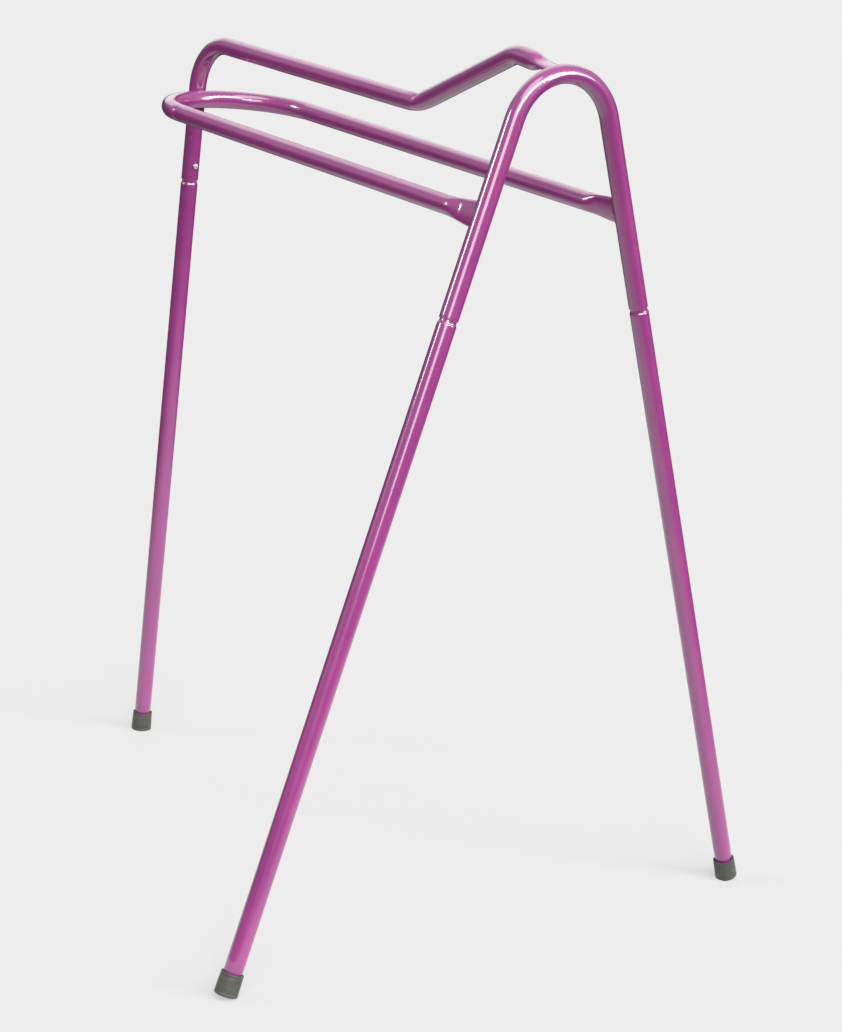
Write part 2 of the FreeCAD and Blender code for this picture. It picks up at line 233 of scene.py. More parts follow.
def smooth_step(t):
    t = np.clip(t, 0, 1)
    return t * t * (3 - 2 * t)


def foot_rise(tilt):
    """Height of the middle of a tilted cap's bottom."""
    return CAP_BOTTOM_R * math.sin(tilt) - CAP_WEAR


# Socket ends and the ways up the legs.
up_left = vec(0, -math.sin(SPLAY), math.cos(SPLAY))
up_rear = vec(math.sin(LEAN), 0, math.cos(LEAN))
arch_centre_z = HOOP_APEX_Z - HOOP_ARCH_R
joint_z = foot_rise(SPLAY) + FRONT_LEG_DROP * math.cos(SPLAY)
joint_y = HOOP_ARCH_R / math.cos(SPLAY) + (arch_centre_z - joint_z) * math.tan(SPLAY)
left_joint = vec(HOOP_X, joint_y, joint_z)
rear_joint = vec(-FOOT_BASE_LENGTH / 2, 0, foot_rise(LEAN)) + up_rear * REAR_LEG_DROP

# Name, socket end, way up the leg, way the snap button points.
LEGS = {
    "left": (left_joint, up_left, vec(-1, 0, 0)),
    "right": (mirrored(left_joint), mirrored(up_left), vec(-1, 0, 0)),
    "rear": (rear_joint, up_rear, vec(math.cos(LEAN), 0, -math.sin(LEAN))),
}
LEG_DROPS = {"left": FRONT_LEG_DROP, "right": FRONT_LEG_DROP, "rear": REAR_LEG_DROP}


def rear_leg_x(z):
    return rear_joint[0] + (z - rear_joint[2]) * math.tan(LEAN)


class Skin:
    """Collects rings of points and the faces between them."""

    def __init__(self):
        self.points = []
        self.faces = []
        self.wear = []

    def ring(self, points, wear=0.0):
        first = len(self.points)
        self.points.extend(np.asarray(points, dtype=float))
        self.wear.extend([wear] * len(points))
        return list(range(first, first + len(points)))

    def bridge(self, a, b, closed=True):
        count = len(a)
        for k in range(count if closed else count - 1):
            n = (k + 1) % count
            self.faces.append((a[k], a[n], b[n], b[k]))

    def tunnel(self, rings, closed=True):
        for a, b in zip(rings, rings[1:]):
            self.bridge(a, b, closed)

    def cap(self, ring):
        """Closes a ring with a smaller ring and a fan, so the flat shades flat."""
        middle = np.mean([self.points[i] for i in ring], axis=0)
        near_rim = [middle + (self.points[i] - middle) * CAP_FAN_SHARE for i in ring]
        inner = self.ring(near_rim, self.wear[ring[0]])
        self.bridge(ring, inner)
        centre = self.ring([middle], self.wear[ring[0]])[0]
        for k in range(len(inner)):
            self.faces.append((inner[k], inner[(k + 1) % len(inner)], centre))

    def move(self, place):
        self.points = [place(p) for p in self.points]

    def object(self, name, mirror=False, floor=None):
        """A smooth-shaded mesh object; mirror adds the other half across y = 0."""
        mesh = bpy.data.meshes.new(name)
        points = [tuple(p) for p in self.points]
        if floor is not None:
            points = [(x, y, max(z, floor)) for x, y, z in points]
        mesh.from_pydata(points, [], self.faces)
        wear = mesh.attributes.new("wear", "FLOAT", "POINT")
        wear.data.foreach_set("value", self.wear)
        work = bmesh.new()
        work.from_mesh(mesh)
        if mirror:
            half = bmesh.ops.duplicate(work, geom=work.verts[:] + work.edges[:] + work.faces[:])["geom"]
            others = [g for g in half if isinstance(g, bmesh.types.BMVert)]
            bmesh.ops.scale(work, vec=(1, -1, 1), verts=others)
        bmesh.ops.remove_doubles(work, verts=work.verts, dist=MERGE)
        bmesh.ops.dissolve_degenerate(work, edges=work.edges, dist=DEGENERATE)
        bmesh.ops.recalc_face_normals(work, faces=work.faces)
        work.to_mesh(mesh)
        work.free()
        mesh.shade_smooth()
        made = bpy.data.objects.new(name, mesh)
        bpy.context.scene.collection.objects.link(made)
        return made


def keep_edges_crisp(made, degrees=34):
    """Marks the sharp edges, which splits the shading there and leaves the shape."""
    mesh = made.data
    work = bmesh.new()
    work.from_mesh(mesh)
    limit = math.radians(degrees)
    for edge in work.edges:
        if len(edge.link_faces) == 2 and edge.calc_face_angle() > limit:
            edge.smooth = False
    work.to_mesh(mesh)
    work.free()


ANGLES = np.arange(AROUND) * (2 * math.pi / AROUND)
CIRCLE = np.stack([np.cos(ANGLES), np.sin(ANGLES)], axis=1)


def slot_outline(half_width, half_thickness, turn):
    """Flat-sided slot with the tube's ring count, its width at the angle turn in the ring."""
    straight = 2 * (half_width - half_thickness)
    quarter = half_thickness * math.pi / 2
    total = 4 * quarter + 2 * straight
    points = []
    for angle in ANGLES:
        way = ((angle - turn) % (2 * math.pi)) / (2 * math.pi) * total
        flip = 1
        if way > total / 2:
            way -= total / 2
            flip = -1
        end = half_width - half_thickness
        if way < quarter:
            a = way / half_thickness
            x, y = end + half_thickness * math.cos(a), half_thickness * math.sin(a)
        elif way < quarter + straight:
            x, y = end - (way - quarter), half_thickness
        else:
            a = (way - quarter - straight) / half_thickness + math.pi / 2
            x, y = -end + half_thickness * math.cos(a), half_thickness * math.sin(a)
        x, y = flip * x, flip * y
        points.append((x * math.cos(turn) - y * math.sin(turn), x * math.sin(turn) + y * math.cos(turn)))
    return np.array(points)


class Route:
    """Straight runs joined by arcs, sampled with a direction and a steady 'out' at each point."""

    def __init__(self, points, bends, out):
        self.places, self.ways = [], []
        self.bends = []
        start = points[0]
        for i, bend in enumerate(bends):
            corner = points[i + 1]
            back = unit(points[i] - corner)
            ahead = unit(points[i + 2] - corner)
            half = math.acos(float(np.clip(back @ ahead, -1, 1))) / 2
            entry = corner + back * bend / math.tan(half)
            middle = corner + unit(back + ahead) * bend / math.sin(half)
            self._straight(start, entry, -back)
            turn = math.pi - 2 * half
            count = max(8, int(math.ceil(bend * turn / BEND_STEP)))
            radial = unit(entry - middle)
            first = len(self.places)
            for k in range(count + 1):
                a = turn * k / count
                self.places.append(middle + bend * (radial * math.cos(a) - back * math.sin(a)))
                self.ways.append(-radial * math.sin(a) - back * math.cos(a))
            self.bends.append((first, len(self.places) - 1))
            start = corner + ahead * bend / math.tan(half)
        self._straight(start, points[-1], unit(points[-1] - start), last=True)
        self.places, self.ways = np.array(self.places), np.array(self.ways)
        steps = np.linalg.norm(np.diff(self.places, axis=0), axis=1)
        self.along = np.concatenate([[0], np.cumsum(steps)])
        outs = [unit(out - self.ways[0] * (out @ self.ways[0]))]
        for way in self.ways[1:]:
            outs.append(unit(outs[-1] - way * (outs[-1] @ way)))
        self.outs = np.array(outs)
        self.sides = np.cross(self.ways, self.outs)

    def _straight(self, start, end, way, last=False):
        length = np.linalg.norm(end - start)
        if length < DEGENERATE:
            return
        count = max(1, int(round(length / STRAIGHT_STEP)))
        for k in range(count + (1 if last else 0)):
            self.places.append(start + (end - start) * k / count)
            self.ways.append(way)

    def span(self, bend):
        """Distances along the route where a bend starts and ends."""
        first, last = self.bends[bend]
        return self.along[first], self.along[last]

    def ring(self, i, outline):
        """The outline's two columns laid along out and side at sample i."""
        return self.places[i] + outline[:, :1] * self.outs[i] + outline[:, 1:] * self.sides[i]


def leg_place(leg):
    """A function from a leg's own frame (z up the leg, x to its button) to the rack's frame."""
    joint, up, button_way = LEGS[leg]
    side = np.cross(up, button_way)
    return lambda p: joint + button_way * p[0] + side * p[1] + up * p[2]


# Half-width of the drilled patch, in ring steps, and its rows.
PATCH_STEPS = 7
PATCH_HALF_HEIGHT = 0.005
PATCH_ROWS = [BUTTON_Z - PATCH_HALF_HEIGHT + 2 * PATCH_HALF_HEIGHT * k / (2 * PATCH_STEPS)
              for k in range(2 * PATCH_STEPS + 1)]
HOLE_BEVEL = 0.00018
HOLE_RING_SHARES = (0.3, 0.55, 0.76, 0.9, 1.0)


def drilled_wall(skin, rows, hole_bevel_sign, wear=None):
    """A wall of revolution in the leg's own frame, with the snap hole in it.

    rows are (height, radius); the rows of PATCH_ROWS must be among them. Returns its first and last
    rings and the ring of the hole.
    """
    wear = wear or (lambda z: 0.0)
    rings = []
    heights = [z for z, _ in rows]
    low = min(range(len(rows)), key=lambda i: abs(heights[i] - PATCH_ROWS[0]))
    high = min(range(len(rows)), key=lambda i: abs(heights[i] - PATCH_ROWS[-1]))
    low, high = min(low, high), max(low, high)
    for z, radius in rows:
        rings.append(skin.ring([(radius * c, radius * s, z) for c, s in CIRCLE], wear(z)))
    for i in range(len(rings) - 1):
        a, b = rings[i], rings[i + 1]
        for k in range(AROUND):
            middle = (k + 0.5 + AROUND / 2) % AROUND - AROUND / 2
            if low <= i < high and abs(middle) < PATCH_STEPS:
                continue
            n = (k + 1) % AROUND
            skin.faces.append((a[k], a[n], b[n], b[k]))
    radius = rows[low][1]
    steps = list(range(-PATCH_STEPS, PATCH_STEPS))
    rim = [rings[low][k % AROUND] for k in steps]
    rim += [rings[i][PATCH_STEPS] for i in range(low, high)]
    rim += [rings[high][-k % AROUND] for k in steps]
    rim += [rings[i][-PATCH_STEPS % AROUND] for i in range(high, low, -1)]
    outer = [(skin.points[i][1], skin.points[i][2] - BUTTON_Z) for i in rim]
    previous = rim
    for share in HOLE_RING_SHARES:
        points = []
        for y, z in outer:
            reach, target = math.hypot(y, z), HOLE_R + HOLE_BEVEL
            y2 = y + (y / reach * target - y) * share
            z2 = z + (z / reach * target - z) * share
            points.append((math.sqrt(radius ** 2 - y2 ** 2), y2, z2 + BUTTON_Z))
        ring = skin.ring(points, wear(BUTTON_Z))
        skin.bridge(previous, ring)
        previous = ring
    points = []
    for y, z in outer:
        reach = math.hypot(y, z)
        y2, z2 = y / reach * HOLE_R, z / reach * HOLE_R
        points.append((math.sqrt(radius ** 2 - y2 ** 2) + hole_bevel_sign * HOLE_BEVEL, y2, z2 + BUTTON_Z))
    hole = skin.ring(points, wear(BUTTON_Z) + HOLE_EDGE_WEAR)
    skin.bridge(previous, hole)
    return rings[0], rings[-1], hole


def rounded(z0, r0, z1, r1, bulge_z, bulge_r, count=5):
    """Rows of a quarter-round from (z0, r0) to (z1, r1), bulging to the corner given."""
    rows = []
    for k in range(count + 1):
        t = k / count
        z = (1 - t) ** 2 * z0 + 2 * t * (1 - t) * bulge_z + t ** 2 * z1
        r = (1 - t) ** 2 * r0 + 2 * t * (1 - t) * bulge_r + t ** 2 * r1
        rows.append((z, r))
    return rows


def socket(skin, leg):
    """The drilled end of an upper tube; returns the ring that the rest of the tube goes on from."""
    first = len(skin.points)
    edge = SOCKET_EDGE_ROUND
    rows = rounded(0, TUBE_R - edge, edge, TUBE_R, 0, TUBE_R)
    rows += [(z, TUBE_R) for z in (*ROWS_BELOW, *PATCH_ROWS, *ROWS_ABOVE, SOCKET_DEPTH)]
    start, end, outer_hole = drilled_wall(skin, rows, -1, lambda z: RIM_WEAR if z < edge * 0.8 else 0.0)
    heights = (SOCKET_LIP, *ROWS_BELOW, *PATCH_ROWS, *ROWS_ABOVE, SOCKET_BORE_END)
    inner = [(z, BORE_R) for z in heights]
    inner_start, inner_end, inner_hole = drilled_wall(skin, inner, 1, lambda z: BORE_WEAR)
    lip_r = BORE_R + SOCKET_LIP
    lip = skin.ring([(lip_r * c, lip_r * s, 0) for c, s in CIRCLE], LIP_WEAR)
    skin.bridge(lip, start)
    skin.bridge(inner_start, lip)
    skin.bridge(outer_hole, inner_hole)
    skin.cap(inner_end)
    place = leg_place(leg)
    for i in range(first, len(skin.points)):
        skin.points[i] = place(skin.points[i])
    return end


def hoop_distance(p):
    """Distance from a point to the hoop's centreline, and the nearest point on it."""
    side = 1 if p[1] >= 0 else -1
    arm = vec(0, abs(p[1]), p[2] - arch_centre_z)
    if math.atan2(arm[1], arm[2]) < math.pi / 2 - SPLAY:
        reach = unit(arm) * HOOP_ARCH_R
        near = vec(HOOP_X, side * reach[1], arch_centre_z + reach[2])
    else:
        along = (vec(HOOP_X, abs(p[1]), p[2]) - left_joint) @ up_left
        near = (left_joint + up_left * along) * vec(1, side, 1)
    return np.linalg.norm(p - near), near


# The stretch of a line that is searched for the hoop, from just short of it to inside it.
SEARCH_SPAN = (-0.02, 0.03)
SEARCH_HALVINGS = 40


def reach_hoop(start, way, depth=0.0):
    """Where a line meets the hoop's surface, or a surface that much below it."""
    low, high = SEARCH_SPAN
    for _ in range(SEARCH_HALVINGS):
        middle = (low + high) / 2
        if hoop_distance(start + way * middle)[0] > TUBE_R - depth:
            low = middle
        else:
            high = middle
    return start + way * high


def build_hoop():
    skin = Skin()
    ring = socket(skin, "left")
    corner = vec(HOOP_X, 0, arch_centre_z + HOOP_ARCH_R / math.sin(SPLAY))
    start = left_joint + up_left * SOCKET_DEPTH
    route = Route([start, corner, mirrored(start)], [HOOP_ARCH_R], LEGS["left"][2])
    first, last = route.bends[0]
    apex = (first + last) // 2
    enter, leave = route.span(0)
    for i in range(1, apex + 1):
        share = np.clip((route.along[i] - enter) / (leave - enter), 0, 1)
        flatten = HOOP_OVAL * math.sin(math.pi * share)
        outline = CIRCLE * vec(TUBE_R + flatten, TUBE_R - flatten)
        points = route.ring(i, outline)
        if i == apex:
            points[:, 1] = 0
        new = skin.ring(points)
        skin.bridge(ring, new)
        ring = new
    return skin.object("hoop", mirror=True)


def paddle_outline(share, turn):
    """Tube outline part of the way from round to pressed flat."""
    flat = slot_outline(PADDLE_HALF_WIDTH, PADDLE_HALF_THICKNESS, turn)
    wide = vec(math.cos(turn), math.sin(turn))
    thick = vec(-wide[1], wide[0])
    x, y = flat @ wide, flat @ thick
    # Crowned cheeks: the press leaves the middle thicker than the rims.
    y = y * (1 - PADDLE_CROWN * (x / PADDLE_HALF_WIDTH) ** 2)
    # The cheeks come together sooner than the rims spread.
    thin = float(smooth_step(share * PADDLE_THIN_RATE))
    x = (CIRCLE @ wide) * TUBE_R * (1 - share) + x * share
    y = (CIRCLE @ thick) * TUBE_R * (1 - thin) + y * thin
    return x[:, None] * wide + y[:, None] * thick


def paddle_rings(skin, ring, start, way, out, side, turn):
    """Adds the pressed end from a round ring to just under the hoop's surface."""
    for k in range(1, PADDLE_RINGS + 1):
        share = k / PADDLE_RINGS
        outline = paddle_outline(1 - (1 - share ** PADDLE_EASE_IN) ** PADDLE_EASE_OUT, turn)
        centre = start + way * PADDLE_FLARE * share
        new = skin.ring(centre + outline[:, :1] * out + outline[:, 1:] * side)
        skin.bridge(ring, new)
        ring = new
    outline = paddle_outline(1.0, turn)
    lines = outline[:, :1] * out + outline[:, 1:] * side
    base = start + way * PADDLE_FLARE + lines
    edge = np.array([reach_hoop(p, way, PADDLE_SUNK) for p in base + way * PADDLE_FLAT])
    for share in (0.25, 0.5, 0.75, 1.0):
        new = skin.ring(base + (edge - base) * share)
        skin.bridge(ring, new)
        ring = new
    skin.cap(ring)


def build_ridge():
    skin = Skin()
    ring = socket(skin, "rear")
    rear = vec(rear_leg_x(RIDGE_REAR_Z), 0, RIDGE_REAR_Z)
    valley = vec(HOOP_X - RIDGE_VALLEY_BACK, 0, RIDGE_VALLEY_Z)
    crest = vec(HOOP_X - RIDGE_CREST_BACK, 0, RIDGE_CREST_Z)
    tip = vec(HOOP_X, 0, HOOP_APEX_Z)
    way = unit(tip - crest)
    paddle_start = tip - way * (TUBE_R + PADDLE_FLAT + PADDLE_FLARE)
    route = Route([rear_joint + up_rear * SOCKET_DEPTH, rear, valley, crest, paddle_start],
                  [RIDGE_REAR_BEND, RIDGE_VALLEY_BEND, RIDGE_CREST_BEND], LEGS["rear"][2])
    valley_middle = sum(route.span(1)) / 2
    spans = [route.span(0), route.span(2)]
    for i in range(1, len(route.places)):
        s = route.along[i]
        outline = CIRCLE * TUBE_R
        for enter, leave in spans:
            if enter < s < leave:
                flatten = RIDGE_OVAL * math.sin(math.pi * (s - enter) / (leave - enter))
                outline = CIRCLE * vec(TUBE_R - flatten, TUBE_R + flatten)
        outline = outline + valley_crimp(s - valley_middle)
        new = skin.ring(route.ring(i, outline))
        skin.bridge(ring, new)
        ring = new
    paddle_rings(skin, ring, paddle_start, way, route.outs[-1], route.sides[-1], math.pi / 2)
    return skin.object("ridge")


def swell(shape, offset):
    """A smooth swelling's height at a distance along the tube from its middle."""
    height, reach = shape
    return height * math.exp(-(offset / reach) ** 2)


def valley_crimp(offset):
    """How the wall buckles at the tight valley bend: in on top, with a lip each side, and out sideways."""
    top = np.clip(-CIRCLE[:, 0], 0, 1) ** 2
    sides = CIRCLE[:, 1] ** 2
    under = np.clip(CIRCLE[:, 0], 0, 1) ** 2
    lip = swell(CRIMP_LIP, abs(offset) - CRIMP_LIP_OFFSET)
    change = np.zeros((AROUND, 2))
    change[:, 0] = top * (swell(CRIMP_DENT, offset) - lip) - under * swell(CRIMP_SINK, offset)
    change[:, 1] = np.sign(CIRCLE[:, 1]) * sides * swell(CRIMP_SPREAD, offset)
    return change


def rail_values():
    way = vec(-math.cos(RAIL_SLOPE), 0, math.sin(RAIL_SLOPE))
    normal = vec(math.sin(RAIL_SLOPE), 0, math.cos(RAIL_SLOPE))
    front = vec(HOOP_X, RAIL_Y, RAIL_FRONT_Z)
    rise = math.tan(RAIL_SLOPE)
    gap = (2 * TUBE_R + WELD_GAP) / math.cos(LEAN)
    back_x = (rear_leg_x(RAIL_FRONT_Z + rise * HOOP_X) + gap) / (1 + rise * math.tan(LEAN))
    corner = front + way * (HOOP_X - back_x) / math.cos(RAIL_SLOPE)
    start = front + way * (TUBE_R + PADDLE_FLAT + PADDLE_FLARE)
    return way, normal, front, corner, start


def rail_paddle_turn():
    """Angle of the flattened end's width in the rail's ring: along the hoop leg."""
    way, normal, _, _, _ = rail_values()
    wide = unit(up_left - way * (up_left @ way))
    side = np.cross(way, normal)
    return math.atan2(wide @ side, wide @ normal)


def build_rail():
    """Left half from the middle of the U-bend to the flattened end, mirrored."""
    skin = Skin()
    way, normal, _, corner, start = rail_values()
    route = Route([start, corner, mirrored(corner), mirrored(start)], [RAIL_Y, RAIL_Y], normal)
    enter, middle = route.bends[0]
    s_enter = route.along[enter]
    ring = None
    for i in range(0, middle + 1):
        s = route.along[i]
        flatten = RAIL_OVAL * float(smooth_step((s - s_enter) / RAIL_OVAL_RAMP))
        outline = CIRCLE * vec(TUBE_R + flatten, TUBE_R - flatten)
        outline = outline + bend_mark(s - s_enter)
        points = route.ring(i, outline)
        if i == middle:
            points[:, 1] = 0
        new = skin.ring(points)
        if ring is None:
            first = new
        else:
            skin.bridge(ring, new)
        ring = new
    # The flattened end, whose rings run the other way along the tube.
    paddle_rings(skin, first, start, -way, route.outs[0], route.sides[0], rail_paddle_turn())
    return skin.object("rail", mirror=True)


def bend_mark(offset):
    """The small step that the bending die leaves where the U-bend starts."""
    inside = np.clip(CIRCLE[:, 1], 0, 1) ** 2
    change = np.zeros((AROUND, 2))
    change[:, 1] = inside * (swell(MARK_LIP, offset - MARK_LIP_OFFSET) - swell(MARK_DENT, offset))
    return change


def leg_rows(bottom):
    """The lower leg's outer surface, from under its cap to the spigot's tip."""
    shoulder = -GROOVE_WIDTH
    plain_top = -0.02
    count = 20
    rows = [(bottom + (plain_top - bottom) * k / count, TUBE_R) for k in range(count + 1)]
    rows += rounded(shoulder - SHOULDER_ROLL, TUBE_R, shoulder + CONE_TOP[0], TUBE_R - CONE_TOP[1],
                    shoulder + SHOULDER_CORNER, TUBE_R, 6)
    rows += rounded(shoulder + CONE_FOOT[0], TUBE_R - CONE_FOOT[1], -NECK_TURN, NECK_R,
                    -NECK_LENGTH, NECK_R, 6)
    rows += [(-NECK_STOP, NECK_R), (0.0, NECK_R - FINE_EASE)]
    rows += [(0.0, SPIGOT_R + SPIGOT_FILLET), (SPIGOT_FILLET, SPIGOT_R)]
    rows += [(z, SPIGOT_R) for z in (ROWS_BELOW[-1], *PATCH_ROWS, *ROWS_ABOVE)]
    chamfer = SPIGOT_LENGTH - SPIGOT_CHAMFER
    rows += [(chamfer - FINE_EASE, SPIGOT_R), (chamfer + FINE_EASE, SPIGOT_R - FINE_EASE),
             (SPIGOT_LENGTH - FINE_EASE, SPIGOT_R - SPIGOT_CHAMFER + 2 * FINE_EASE),
             (SPIGOT_LENGTH, SPIGOT_R - SPIGOT_CHAMFER)]
    return rows


def build_leg(leg):
    skin = Skin()

    def wear(z):
        return 0.0 if z < -GROOVE_WIDTH else NECK_WEAR if z < 0 else SPIGOT_WEAR

    bottom = CAP_FLOOR - LEG_DROPS[leg]
    start, end, outer_hole = drilled_wall(skin, leg_rows(bottom), -1, wear)
    swage_end = -0.011
    heights = (SPIGOT_LENGTH, *reversed(ROWS_ABOVE), *reversed(PATCH_ROWS), ROWS_BELOW[-1], -GROOVE_WIDTH)
    inner = [(z, SPIGOT_BORE_R) for z in heights] + [(swage_end, BORE_R), (bottom, BORE_R)]
    inner_start, inner_end, inner_hole = drilled_wall(skin, inner, 1, lambda z: LEG_BORE_WEAR)
    skin.bridge(end, inner_start)
    skin.bridge(inner_end, start)
    skin.bridge(outer_hole, inner_hole)
    skin.move(leg_place(leg))
    return skin.object("leg_" + leg)


def turned_rings(skin, rows, around):
    angles = np.arange(around) * (2 * math.pi / around)
    return [skin.ring([(r * math.cos(a), r * math.sin(a), z) for a in angles]) for z, r in rows]


def tread_side(z0, land_edge, way):
    """Rows from a tread land's edge up into the groove beside it; way is -1 inwards and 1 outwards."""
    return [(z0 + FINE_EASE, land_edge + way * TREAD_SLOPE_FOOT),
            (z0 + TREAD_DEPTH, land_edge + way * TREAD_SLOPE)]


def moulded_groove(z, radius, below, floor, above):
    """Rows of a shallow groove that starts at the height z; the rest stands out from radius."""
    return [(z + k * CAP_GROOVE_STEP, radius + out) for k, out in enumerate((below, floor, floor, above))]


def build_cap(leg):
    """Rubber cap: lip, tapered wall, rounded foot with two tread rings underneath."""
    skin = Skin()
    z0 = -LEG_DROPS[leg]
    top = z0 + CAP_HEIGHT
    rows = [(z0 + TREAD_DEPTH, TREAD_CENTRE_R)]
    for number, (inner, outer) in enumerate(TREAD_LANDS):
        rows += tread_side(z0, inner, -1)[::-1] + [(z0, inner), (z0, outer)]
        if number < len(TREAD_LANDS) - 1:
            rows += tread_side(z0, outer, 1)
    rows += rounded(z0, CAP_BOTTOM_R - CAP_FOOT_ROUND, z0 + CAP_FOOT_ROUND, CAP_BOTTOM_R - 0.00004,
                    z0, CAP_BOTTOM_R, 8)
    rows += moulded_groove(z0 + FOOT_GROOVE_Z, CAP_BOTTOM_R, *FOOT_GROOVE)
    rows += [(z0 + height, CAP_R + extra) for height, extra in CAP_DRAFT]
    rows += moulded_groove(top - LIP_GROOVE_Z, CAP_R, *LIP_GROOVE)
    rows += rounded(top - CAP_LIP_ROUND, CAP_R, top, CAP_R - CAP_LIP_ROUND, top, CAP_R, 5)
    # The mouth's inner edge, then the bore down to the rubber under the tube.
    rows += [(top, TUBE_R + 0.0006), (top - 0.0002, TUBE_R + 0.00015), (top - 0.0008, TUBE_R),
             (z0 + CAP_FLOOR, TUBE_R)]
    rings = turned_rings(skin, rows, CAP_AROUND)
    skin.tunnel(rings)
    skin.cap(rings[0])
    skin.cap(rings[-1])
    skin.move(leg_place(leg))
    return skin.object("cap_" + leg, floor=0.0)


def build_button(leg):
    """Plated snap button: flange, shank and domed tip, turned about the way it points."""
    skin = Skin()
    back = FLANGE_FACE - FLANGE_THICKNESS
    rows = [(back, FLANGE_R - 2 * FINE_EASE), (back + FINE_EASE, FLANGE_R),
            (FLANGE_FACE - FINE_EASE, FLANGE_R), (FLANGE_FACE, FLANGE_R - FINE_EASE),
            (FLANGE_FACE, BUTTON_R + FINE_EASE), (FLANGE_FACE + FINE_EASE, BUTTON_R)]
    dome_foot = BUTTON_TIP - BUTTON_DOME_HEIGHT
    rows += [(dome_foot, BUTTON_R)]
    for k in range(BUTTON_DOME_STEPS):
        a = math.pi / 2 * k / BUTTON_DOME_STEPS
        radius = BUTTON_R * math.cos(a) ** BUTTON_DOME_FULLNESS
        rows.append((dome_foot + BUTTON_DOME_HEIGHT * math.sin(a), radius))
    rings = turned_rings(skin, rows, BUTTON_AROUND)
    skin.tunnel(rings)
    skin.cap(rings[0])
    skin.cap(rings[-1])
    # Stand it along x in the leg's own frame.
    skin.move(lambda p: vec(p[2], p[1], BUTTON_Z - p[0]))
    skin.move(leg_place(leg))
    made = skin.object("button_" + leg)
    keep_edges_crisp(made)
    return made


def spring_arms():
    """Where the middles of the near and far arms lie along the button's way."""
    half = SPRING_THICKNESS / 2
    far_wall = math.sqrt(SPIGOT_BORE_R ** 2 - (SPRING_WIDTH / 2) ** 2)
    return FLANGE_FACE - FLANGE_THICKNESS - SPRING_PLAY - half, -far_wall + SPRING_PLAY + half


def flex_spring(made, leg):
    """The whole spring stays where it is built in the leg, its transform baked into the mesh; the near arm
    does not follow the button.
    """
    near, far = spring_arms()
    half = SPRING_THICKNESS / 2
    place = leg_place(leg)
    tuple(place(vec(far + half, 0, BUTTON_Z)))
    tuple(place(vec(near - half, 0, BUTTON_Z)))
    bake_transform(made)


def build_spring(leg):
    """V spring bent from strip, with rounded edges."""
    half = SPRING_THICKNESS / 2
    arm_x, far_x = spring_arms()
    top = BUTTON_Z + SPRING_ARM_HALF
    points = [vec(arm_x, 0, top), vec(arm_x, 0, BUTTON_Z - SPRING_ARM_HALF),
              vec((arm_x + far_x) / 2, 0, top - SPRING_LENGTH), vec(far_x, 0, top)]
    route = Route(points, SPRING_BENDS, vec(1, 0, 0))
    skin = Skin()
    outline = []
    for sx, sy in ((1, 1), (1, -1), (-1, -1), (-1, 1)):
        x, y = sx * half, sy * SPRING_WIDTH / 2
        pair = [(x - sx * SPRING_CORNER, y), (x, y - sy * SPRING_CORNER)]
        outline += pair if sx * sy > 0 else pair[::-1]
    outline = np.array(outline)
    rings = []
    last = len(route.places) - 1
    for i in range(last + 1):
        ends = min(i, last - i)
        scale = SPRING_END_SCALE if ends == 0 else 1.0
        rings.append(skin.ring(route.ring(i, outline * vec(1, scale))))
    skin.tunnel(rings)
    skin.faces.append(tuple(rings[0]))
    skin.faces.append(tuple(rings[-1]))
    skin.move(leg_place(leg))
    made = skin.object("spring_" + leg)
    keep_edges_crisp(made, 50)
    return made


def weld_ring(name, corners, hoop_ways, back_way, size, seed):
    """A closed fillet bead laid in ripples round a pressed end where it meets the hoop."""
    skin = Skin()
    count = len(corners)
    lengths = np.linalg.norm(np.roll(corners, -1, axis=0) - corners, axis=1)
    along = np.concatenate([[0], np.cumsum(lengths)[:-1]])
    total = lengths.sum()
    ripples = int(round(total / RIPPLE))
    random = np.random.default_rng(seed)
    wobble = np.interp(np.arange(count) / count, np.linspace(0, 1, 15),
                       np.append(random.normal(0, BEAD_WOBBLE, 14), 0))
    rows = []
    for j in range(ACROSS_BEAD + 1):
        share = j / ACROSS_BEAD
        points = []
        for i in range(count):
            phase = along[i] / total * ripples - BEAD_LAG * math.sin(math.pi * share)
            ripple = abs(math.sin(math.pi * phase)) ** RIPPLE_SHARPNESS
            reach = size * (1 + wobble[i]) * (0.93 + 0.07 * ripple)
            a, b = hoop_ways[i], back_way
            base = a * (1 - share) + b * share
            bulge = math.sin(math.pi * share) * (0.20 + 0.10 * ripple)
            points.append(corners[i] + reach * (base + unit(a + b) * bulge))
        rows.append(skin.ring(points))
    sunk = [corners[i] - (hoop_ways[i] + back_way) * size * BEAD_SUNK for i in range(count)]
    rows.append(skin.ring(sunk))
    rows.append(rows[0])
    skin.tunnel(rows)
    return skin.object(name)


SMOOTHING_ROUNDS = 6


def end_weld(name, start, way, out, side, turn, seed):
    """Bead round the pressed end that runs from start towards the hoop."""
    outline = paddle_outline(1.0, turn)
    closed = np.vstack([outline, outline[:1]])
    places = np.arange(AROUND * BEAD_SAMPLES) / BEAD_SAMPLES
    fine = np.stack([np.interp(places, np.arange(AROUND + 1), closed[:, c]) for c in range(2)], axis=1)
    base = start + way * PADDLE_FLARE
    lines = base + fine[:, :1] * out + fine[:, 1:] * side
    corners = np.array([reach_hoop(p, way) for p in lines])
    middle = corners.mean(axis=0)
    ways = []
    for p in corners:
        _, near = hoop_distance(p)
        normal = unit(p - near)
        away = p - middle
        away = away - way * (away @ way)
        ways.append(unit(away - normal * (away @ normal)))
    ways = np.array(ways)
    for _ in range(SMOOTHING_ROUNDS):
        ways = (np.roll(ways, 1, axis=0) + ways + np.roll(ways, -1, axis=0)) / 3
    ways = np.array([unit(w) for w in ways])
    return weld_ring(name, corners, ways, -way, BEAD_SIZE, seed)


